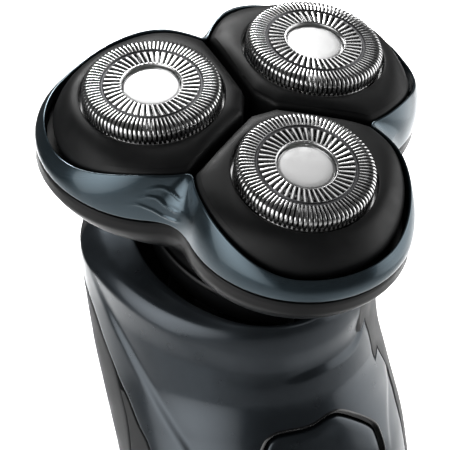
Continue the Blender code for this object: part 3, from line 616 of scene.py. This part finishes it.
def eased(stations, spacing_at):
    """Closely spaced stations as (y, z, half width, front y and z, back y and z, power), on monotone curves."""
    s = []
    for y, z, tilt, half, front, back, power in stations:
        c, sn = math.cos(math.radians(tilt)), math.sin(math.radians(tilt))
        s.append((y, z, half, y - front * c, z - front * sn, y + back * c, z + back * sn, power))
    s = np.array(s)
    t = np.concatenate([[0.0], np.cumsum(np.sqrt((np.diff(s[:, :3], axis=0) ** 2).sum(axis=1)))])
    slope = np.diff(s, axis=0) / np.diff(t)[:, None]
    tangent = np.vstack([slope[:1], slope])
    for k in range(1, len(s) - 1):
        a, b = slope[k - 1], slope[k]
        tangent[k] = np.where(a * b > 0, 2 * a * b / np.where(a * b > 0, a + b, 1.0), 0.0)
    rows = []
    at = 0.0
    while at < t[-1]:
        k = min(int(np.searchsorted(t, at, side="right")) - 1, len(s) - 2)
        h = t[k + 1] - t[k]
        u = (at - t[k]) / h
        row = (s[k] * (1 + 2 * u) * (1 - u) ** 2 + tangent[k] * h * u * (1 - u) ** 2
               + s[k + 1] * u * u * (3 - 2 * u) + tangent[k + 1] * h * u * u * (u - 1))
        rows.append(row)
        at += spacing_at(row[1])
    rows.append(s[-1])
    return rows


def ring_points(station, angles, insets=0.0, drop=0.0):
    """Points of the handle's skin at a station, drawn in by insets and lowered along its tilt."""
    y, z, half, front_y, front_z, back_y, back_z, power = station
    c, s = np.cos(angles), np.sin(angles)
    front, back = math.hypot(front_y - y, front_z - z), math.hypot(back_y - y, back_z - z)
    px = (half - insets) * np.sign(c) * np.abs(c) ** (2 / power)
    share = np.abs(s) ** (2 / power) * (1 - insets / np.where(s > 0, back, front))
    span = math.hypot(back_y - front_y, back_z - front_z)
    down_y, down_z = drop * (back_z - front_z) / span, -drop * (back_y - front_y) / span
    return np.stack([px, y + share * np.where(s > 0, back_y - y, front_y - y) + down_y,
                     z + share * np.where(s > 0, back_z - z, front_z - z) + down_z], 1)


def seam_angle(station, edge, shift):
    """Angle on the right side where a station meets a seam seen from the side."""
    low, high = -math.pi / 2, math.pi / 2
    for _ in range(26):
        mid = (low + high) / 2
        _, y, z = ring_points(station, np.array([mid]))[0]
        if y < np.interp(z, edge[:, 1], edge[:, 0]) + shift:
            low = mid
        else:
            high = mid
    return (low + high) / 2


def seam_curve(edge):
    """A seam as closely spaced (y, z) points with rising z."""
    return np.array(smoothed(edge, 5))[::-1]


def fold_insets(points, folds):
    """How far the folds draw the skin in at each of its points."""
    around = np.degrees(np.arctan2(points[:, 0], 2.0 - points[:, 1]))
    spots = np.stack([around * SKIN_MM_PER_DEGREE, points[:, 2]], 1)
    total = np.zeros(len(points))
    for line, depth, width, reach in folds:
        gap, share = along_line(spots, smoothed([(a * SKIN_MM_PER_DEGREE, z) for a, z in line], 8))
        step = 1 / (1 + np.exp(-np.clip(gap / (width * 0.25), -40, 40)))
        ends = np.clip(np.minimum(share, 1 - share) / 0.22, 0, 1)
        total += depth * step * np.exp(-np.maximum(gap, 0) / reach) * ends * ends * (3 - 2 * ends)
    return total


def skin_rows(stations, spans, columns, folds=(), rim=()):
    """Closed rows of a panel of the handle: its outer skin and back along its inner wall.

    spans gives the first and last angle of each row. The last 0.3 mm at each seam is rounded, and rim gives the
    rows of a lip over the first station as (inset, drop).
    """
    rounding = ((0.0, 0.30), (0.05, 0.12), (0.14, 0.03), (0.30, 0.0))
    lip_drop = 1.25
    away = np.array([d for d, _ in rounding]) / SEAM_REACH
    edge = np.concatenate([[v for _, v in rounding], np.zeros(columns), [v for _, v in reversed(rounding)]])
    top = stations[0]
    lean = math.atan2(top[6] - top[4], top[5] - top[3])
    rows = []
    for k, (station, (first, last)) in enumerate(zip(stations, spans)):
        middle = np.linspace(first + away[-1], last - away[-1], columns + 2)[1:-1]
        angles = np.concatenate([first + away, middle, last - away[::-1]])
        for j, (inset, drop) in enumerate(rim if k == 0 else ()):
            lip = top.copy()
            lip[2] -= inset
            lip[3:5] += (top[:2] - top[3:5]) * 0.007 * inset
            lip[5:7] += (top[:2] - top[5:7]) * 0.043 * inset
            outer = ring_points(lip, angles, edge * 0.3, drop)
            rows.append(np.vstack([outer, ring_points(station, angles[::-1], 1.82 + 0.02 * j, lip_drop)]))
        outer = ring_points(station, angles, edge)
        if folds:
            outer = ring_points(station, angles, edge + fold_insets(outer, folds))
        below = (station[0] - top[0]) * math.sin(lean) + (top[1] - station[1]) * math.cos(lean)
        lowered = max(below, lip_drop + 0.03 * k) - below if rim else 0.0
        rows.append(np.vstack([outer, ring_points(station, angles[::-1], WALL, lowered)]))
    return rows


def carved(mesh, tool, operation):
    """Result of one mesh cut by another, or kept only inside it."""
    holder = bpy.data.objects.new("carved", mesh)
    cutter = bpy.data.objects.new("cutter", tool)
    bpy.context.scene.collection.objects.link(holder)
    bpy.context.scene.collection.objects.link(cutter)
    modifier = holder.modifiers.new("cut", "BOOLEAN")
    modifier.operation = operation
    modifier.solver = "MANIFOLD"
    modifier.object = cutter
    graph = bpy.context.evaluated_depsgraph_get()
    result = bpy.data.meshes.new_from_object(holder.evaluated_get(graph))
    holder.modifiers.clear()
    bpy.data.objects.remove(holder)
    bpy.data.objects.remove(cutter)
    return result


def grown(outline, amount):
    """A clockwise outline with each of its sides moved outwards by an offset."""
    points = [Vector(p) for p in outline]
    moved = []
    for i, point in enumerate(points):
        before = (point - points[i - 1]).normalized()
        after = (points[(i + 1) % len(points)] - point).normalized()
        out = Vector((-before.y - after.y, before.x + after.x)).normalized()
        moved.append(tuple(point + out * amount / max(out.dot(Vector((-after.y, after.x))), 0.35)))
    return moved


def prism(outline, low, high, frame):
    """A mesh from a flat outline, between two heights of a frame."""
    mesh = mesh_of(*lofted([[(x, y, z) for x, y in outline] for z in (low, high)]))
    mesh.transform(frame)
    return mesh


def closed_curve(outline, steps):
    """A closed outline with more points, on a smooth curve through its own."""
    loop = [outline[-1], *outline, outline[0], outline[1]]
    return [tuple(p) for p in smoothed(loop, steps)[steps:-steps - 1]]


shell_seam = seam_curve(SHELL_EDGE)
shell_stations = eased(STATIONS, lambda z: 0.5 if z > 76 else 1.3)
shell_spans = []
for station in shell_stations:
    right_side = seam_angle(station, shell_seam, -SEAM)
    shell_spans.append((-math.pi - right_side, right_side))
SHELL_RIM = ((1.75, 1.2), (1.74, 0.4), (1.72, -0.02), (1.64, -0.20), (1.48, -0.29), (1.2, -0.27), (0.6, -0.16))
shell_mesh = mesh_of(*lofted(skin_rows(shell_stations, shell_spans, 150, SHELL_FOLDS, SHELL_RIM), "strip"))
shell_skin = bmesh.new()
shell_skin.from_mesh(shell_mesh)
shell_tree = BVHTree.FromBMesh(shell_skin)
shell_skin.free()
button_curve = [(BUTTON_CENTRE[0] + x, BUTTON_CENTRE[1] + z) for x, z in closed_curve(BUTTON_OUTLINE, 6)]
inlay_back = [(y + 1.5, z) for y, z in SHELL_EDGE if z > INLAY_EDGE[-1][1]]
inlay_hole = prism(grown(list(reversed(INLAY_EDGE)) + inlay_back, INLAY_GAP), 14, 40, SIDE_FRAME)
button_hole = prism(grown(button_curve, BEZEL_WIDTH + 0.05), 12, 40, FRONT_FRAME)
lamp_hole = turned([(1.3, 12), (1.3, 40)], 32, "fan")
lamp_hole.transform(FRONT_FRAME @ Matrix.Translation((0, LAMP_HEIGHT, 0)))
for hole in (inlay_hole, button_hole, lamp_hole):
    shell_mesh = carved(shell_mesh, hole, "DIFFERENCE")
shell = assembled("front_shell_lacquered", [(shell_mesh, shell_blue)], Matrix(), 40)
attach(shell, "handle")
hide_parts("front_shell")

# ---------------------------------------------------------------------------
# Shoulder inlay: a matte grey moulded leaf let into the right shoulder, with
# two soft folds down its length and a jagged front edge.
# ---------------------------------------------------------------------------
cover_grey = finish_of("cover_grey", (0.040, 0.041, 0.043), (0.056, 0.057, 0.060), (0.48, 0.60), 5500, (0.35, 0.015))
INLAY_FOLDS = ((((72, 121.0), (80, 112.0), (84, 102.0), (86, 92.0), (84, 80.0), (80, 68.0)), 0.35, 2.2, 4.0),
               (((96, 121.0), (98, 110.0), (94, 98.0), (88, 86.0)), 0.3, 1.6, 3.0))
inlay_stations = [s for s in shell_stations if 66.0 < s[1]]
inlay_spans = [(-1.15, 0.75)] * len(inlay_stations)
inlay_area = list(reversed(INLAY_EDGE)) + [(y - SEAM, z) for y, z in SHELL_EDGE if z > INLAY_EDGE[-1][1]]
inlay_mesh = mesh_of(*lofted(skin_rows(inlay_stations, inlay_spans, 90, INLAY_FOLDS), "strip"))
inlay_mesh = carved(inlay_mesh, prism(inlay_area, 1, 40, SIDE_FRAME), "INTERSECT")
inlay = assembled("shoulder_inlay_leaf", [(inlay_mesh, cover_grey)], Matrix(), 40)
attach(inlay, "handle")
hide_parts("shoulder_inlay")

# ---------------------------------------------------------------------------
# Back cover: the rear half of the handle, moulded in matte dark grey plastic
# with a fine spark-eroded texture.
# ---------------------------------------------------------------------------
BACK_EDGE = SHELL_EDGE[:7] + ((2.9, 102.9), (1.7, 99.3), (0.5, 95), (0.3, 88), (1.2, 68), (2.6, 42), (4.4, 16),
                              (5, -2))
back_seam = seam_curve(BACK_EDGE)
back_spans = []
for station in shell_stations:
    right_side = seam_angle(station, back_seam, SEAM)
    back_spans.append((right_side, math.pi - right_side))
back_mesh = mesh_of(*lofted(skin_rows(shell_stations, back_spans, 90, (), SHELL_RIM), "strip"))
back = assembled("back_cover_textured", [(back_mesh, cover_grey)], Matrix(), 40)
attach(back, "handle")
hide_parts("back_cover")

# ---------------------------------------------------------------------------
# Side grips: two soft rubber strips moulded between the shell and the back
# cover, pointed at the top, with fine cross ribs down the lower part.
# ---------------------------------------------------------------------------
grip_rubber = finish_of("grip_rubber", (0.030, 0.031, 0.032), (0.044, 0.045, 0.047), (0.60, 0.75), 4500, (0.5, 0.02))
GRIP_TOP = 101.4
RIB_TOP = 74.0
RIB_PITCH = 2.0
RIB_DEPTH = 0.38
GRIP_COLUMNS = 22
grip_rows = []
for station in eased(STATIONS, lambda z: 0.5 if z > RIB_TOP + 2 else 0.25):
    first = seam_angle(station, shell_seam, SEAM)
    last = seam_angle(station, back_seam, -SEAM)
    if station[1] > GRIP_TOP or last - first < 0.03:
        continue
    share = np.concatenate([[0.0, 0.012, 0.04], np.linspace(0.09, 0.91, GRIP_COLUMNS), [0.96, 0.988, 1.0]])
    edge = np.concatenate([[0.30, 0.08, 0.0], np.zeros(GRIP_COLUMNS), [0.0, 0.08, 0.30]])
    if station[1] < RIB_TOP:
        rib = 0.5 - 0.5 * math.cos(math.tau * (RIB_TOP - station[1]) / RIB_PITCH)
        column = np.arange(GRIP_COLUMNS)
        edge[3:-3] += RIB_DEPTH * (1 - rib) ** 2 * np.clip(np.minimum(column, column[::-1]) / 3, 0, 1)
    angles = first + (last - first) * share
    grip_rows.append(np.vstack([ring_points(station, angles, edge), ring_points(station, angles[::-1], WALL)]))
right_grip = mesh_of(*lofted(grip_rows, "strip"))
left_grip = mesh_of(*lofted([row * (-1, 1, 1) for row in grip_rows], "strip"))
for name, mesh in (("grip_left", left_grip), ("grip_right", right_grip)):
    grip = assembled(name + "_ribbed", [(mesh, grip_rubber)], Matrix(), 45)
    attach(grip, "handle")
    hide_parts(name)

# ---------------------------------------------------------------------------
# Power button and its bezel: a lacquered button in a black moulded frame with
# a thin raised lip, set down in a shallow recess.
# ---------------------------------------------------------------------------
lip_black = finish_of("bezel_black", (0.008, 0.0085, 0.009), (0.014, 0.0145, 0.015), (0.16, 0.22), 6000, (0.05, 0.01),
                      0.0, 0.6, 0.05)
STEM_SPAN = (9.3, 19.5)
STEM_HALF = 1.5


def over_shell(x, z, lift):
    """Point over the shell's outer skin at a place seen from the front."""
    hit = shell_tree.ray_cast(Vector((x, -60.0, z)), Vector((0, 1, 0)))[0]
    return (x, hit.y - lift, z)


bezel_profile = ((0.98, -0.6), (0.98, -0.04), (0.90, 0.12), (0.76, 0.17), (0.62, 0.08), (0.55, -0.15), (0.45, -0.7),
                 (0.05, -0.85), (-0.05, -1.1), (-0.05, -1.7), (0.9, -1.7))
bezel_rows = []
for amount, lift in bezel_profile:
    bezel_rows.append([over_shell(x, z, lift) for x, z in grown(button_curve, amount)])
bezel = assembled("button_bezel_lipped", [(mesh_of(*lofted(bezel_rows, "ring")), lip_black)], Matrix(), 50)
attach(bezel, "handle")
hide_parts("button_bezel")

button_rows = []
for amount, lift in ((-0.3, -1.9), (-0.3, -0.62), (-0.38, -0.42), (-0.55, -0.3), (-0.85, -0.24), (-1.4, -0.2)):
    button_rows.append([over_shell(x, z, lift) for x, z in grown(button_curve, amount)])
rim_in = grown(button_curve, -1.4)
bx, bz = BUTTON_CENTRE
for k in range(1, 16):
    share = k / 16
    button_rows.append([over_shell(x + (bx - x) * share, z + (bz - z) * share, -0.2 - 0.35 * math.sin(share * 1.57))
                        for x, z in rim_in])
button_mesh = mesh_of(*lofted(button_rows))
stem_outline = [(bx + sx * STEM_HALF, bz + sz * STEM_HALF) for sx, sz in ((-1, -1), (-1, 1), (1, 1), (1, -1))]
stem = prism(stem_outline, *STEM_SPAN, FRONT_FRAME)
button = assembled("power_button_lacquered", [(button_mesh, shell_blue), (stem, lip_black)], Matrix(), 50)
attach(button, "button")
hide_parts("power_button")

# ---------------------------------------------------------------------------
# Base cap: a satin black plug that closes the foot of the handle, recessed
# round the charge inlet and the two screws.
# ---------------------------------------------------------------------------
BASE_STATIONS = ((0, 2.8, 0, 22.1, 19.1, 19.1, 2.3), (0, 0.9, 0, 21.6, 18.6, 18.6, 2.3),
                 (0, 0, 0, 20.4, 17.4, 17.4, 2.3))
INLET_CENTRE = (0.0, 9.6)
INLET_OUTER = (6.0, 4.0)
SCREW_SPOTS = {"screw_left": (-14.0, -4.0), "screw_right": (14.0, -4.0)}


def oval(cx, cy, half_x, half_y, steps=72):
    """Outline of an oval in the plane of the base."""
    return [(cx + half_x * math.cos(math.tau * i / steps), cy + half_y * math.sin(math.tau * i / steps))
            for i in range(steps)]


whole_turn = np.arange(180) * math.tau / 180
base_rows = [ring_points(s, whole_turn) for s in eased(BASE_STATIONS, lambda z: 0.2)]
base_mesh = mesh_of(*lofted(base_rows))
base_cuts = [prism(oval(*INLET_CENTRE, INLET_OUTER[0] + 0.2, INLET_OUTER[1] + 0.2), -1, 4, Matrix())]
for sx, sy in SCREW_SPOTS.values():
    spot = Matrix.Translation((sx, sy, 0))
    for radius, low, high in ((2.3, -1.0, 1.8), (1.2, 1.0, 4.0)):
        cut = turned([(radius, low), (radius, high)], 48, "fan")
        cut.transform(spot)
        base_cuts.append(cut)
for cut in base_cuts:
    base_mesh = carved(base_mesh, cut, "DIFFERENCE")
base = assembled("base_cap_satin", [(base_mesh, housing_black)], Matrix(), 40)
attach(base, "handle")
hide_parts("base_cap")

# ---------------------------------------------------------------------------
# Charge inlet, pins, screws and charge light: the small fittings of the foot
# and the front. The inlet is moulded black, its pins are gold-plated brass,
# the screws are zinc-plated steel and the light is a clear acrylic window.
# ---------------------------------------------------------------------------
plated_brass = finish_of("plated_brass", (0.66, 0.47, 0.17), (0.78, 0.58, 0.26), (0.2, 0.3), 5000, (0.05, 0.01), 1.0)
zinc_steel = finish_of("zinc_steel", (0.40, 0.41, 0.43), (0.54, 0.55, 0.56), (0.26, 0.4), 4000, (0.1, 0.01), 1.0)
clear_acrylic = finish_of("clear_acrylic", (0.62, 0.68, 0.72), (0.72, 0.78, 0.82), (0.08, 0.14), 3000, (0.02, 0.01),
                          0.0, 0.6)


def dressed(finish, *names):
    """Gives CAD nodes that keep their own shape a finish."""
    for name in names:
        materials = frame["nodes"][name].data.materials
        for i in range(len(materials)):
            materials[i] = finish


dressed(housing_black, "charge_socket")
dressed(plated_brass, "charge_pin_left", "charge_pin_right")
dressed(zinc_steel, "screw_left", "screw_right")
dressed(clear_acrylic, "charge_light")

# ---------------------------------------------------------------------------
# Cutting gear under the caps: hardened steel cutters on steel spindles in a
# black frame, driven through white acetal gears behind a rubber shaft seal.
# ---------------------------------------------------------------------------
ground_steel = finish_of("ground_steel", (0.42, 0.42, 0.43), (0.58, 0.58, 0.58), (0.22, 0.36), 6000, (0.15, 0.01), 1.0)
acetal_white = finish_of("acetal_white", (0.66, 0.66, 0.63), (0.76, 0.76, 0.73), (0.4, 0.5), 3500, (0.08, 0.01))
seal_black = finish_of("seal_rubber", (0.012, 0.012, 0.012), (0.022, 0.022, 0.022), (0.7, 0.85), 4500, (0.3, 0.02))
for side in LOBE_ANGLES:
    dressed(ground_steel, "cutter_" + side, "spindle_" + side)
    dressed(acetal_white, "gear_" + side)
dressed(acetal_white, "drive_gear")
dressed(ground_steel, "motor_shaft")
dressed(housing_black, "cutter_frame", "gear_cover", "gear_plate")
dressed(seal_black, "shaft_seal")

# ---------------------------------------------------------------------------
# Inside the handle: a plated steel motor can, a wrapped lithium cell with its
# welded tabs, a glass-fibre circuit board with the switch, and the chassis.
# ---------------------------------------------------------------------------
motor_steel = finish_of("motor_steel", (0.34, 0.35, 0.36), (0.46, 0.47, 0.48), (0.28, 0.42), 3000, (0.1, 0.01), 1.0)
cell_blue = finish_of("cell_wrap", (0.02, 0.06, 0.17), (0.035, 0.09, 0.23), (0.3, 0.42), 2500, (0.1, 0.02))
board_green = finish_of("board_green", (0.012, 0.09, 0.035), (0.022, 0.14, 0.06), (0.3, 0.45), 2500, (0.2, 0.02))
nickel_tab = finish_of("nickel_tab", (0.52, 0.50, 0.44), (0.64, 0.61, 0.54), (0.25, 0.38), 4000, (0.1, 0.01), 1.0)
dressed(motor_steel, "motor")
dressed(cell_blue, "battery")
dressed(nickel_tab, "battery_tab_top", "battery_tab_bottom")
dressed(board_green, "circuit_board")
dressed(housing_black, "tact_switch", "chassis")

# ---------------------------------------------------------------------------
# Studio: a pale seamless floor, a large soft box overhead, one at each side
# and one that keeps the floor behind white, with the camera a little above.
# ---------------------------------------------------------------------------
floor_white = finish_of("floor_white", (0.80, 0.80, 0.80), (0.82, 0.82, 0.82), (0.85, 0.9), 20, (0.0, 0.01))
floor_mesh = bpy.data.meshes.new("studio_floor")
floor_mesh.from_pydata([(-3.0, -3.0, -0.0005), (3.0, -3.0, -0.0005), (3.0, 3.0, -0.0005), (-3.0, 3.0, -0.0005)], [],
                       [(0, 1, 2, 3)])
floor_mesh.materials.append(floor_white)
floor = bpy.data.objects.new("studio_floor", floor_mesh)
bpy.context.scene.collection.objects.link(floor)


def soft_box(name, place, aim, wide, high, watts, spread=180):
    """An area light at a place, turned to face another point."""
    light = bpy.data.lights.new(name, "AREA")
    light.shape = "RECTANGLE"
    light.size = wide
    light.size_y = high
    light.energy = watts
    light.spread = math.radians(spread)
    lamp = bpy.data.objects.new(name, light)
    direction = Vector(aim) - Vector(place)
    lamp.matrix_world = Matrix.Translation(place) @ direction.to_track_quat("-Z", "Y").to_matrix().to_4x4()
    bpy.context.scene.collection.objects.link(lamp)


soft_box("box_over", (0.206, 0.129, 0.65), (0.0, -0.013, 0.15), 0.40, 0.40, 0.040, 36)
soft_box("box_left", (-0.225, -0.10, 0.13), (0.0, -0.06, 0.10), 0.34, 0.25, 0.20, 100)
soft_box("box_right", (0.225, -0.07, 0.13), (0.0, -0.04, 0.10), 0.30, 0.25, 0.15, 100)
soft_box("box_floor", (0.17, 0.55, 0.55), (0.13, 0.36, 0.0), 0.50, 0.50, 4.0, 60)

world = bpy.data.worlds.new("studio_world")
world.use_nodes = True
world.node_tree.nodes["Background"].inputs["Color"].default_value = (1.0, 1.0, 1.0, 1.0)
world.node_tree.nodes["Background"].inputs["Strength"].default_value = 0.06
bpy.context.scene.world = world
bpy.context.scene.view_settings.view_transform = "Standard"

towards = Vector((-0.3692, -0.8485, 0.3793))
right = Vector((0.8933, -0.4365, -0.1071))
up = Vector((0.2564, 0.2993, 0.9191))
camera_data = bpy.data.cameras.new("camera")
camera_data.sensor_width = 36.0
camera_data.lens = 252.6
camera_data.clip_start = 0.01
camera_data.clip_end = 10.0
camera = bpy.data.objects.new("camera", camera_data)
aim_point = Vector((0.0, -0.013, 0.150)) - 0.005146 * right - 0.020012 * up
place = Matrix((right, up, towards)).transposed().to_4x4()
camera.matrix_world = Matrix.Translation(aim_point + 0.4965 * towards) @ place
bpy.context.scene.collection.objects.link(camera)
bpy.context.scene.camera = camera
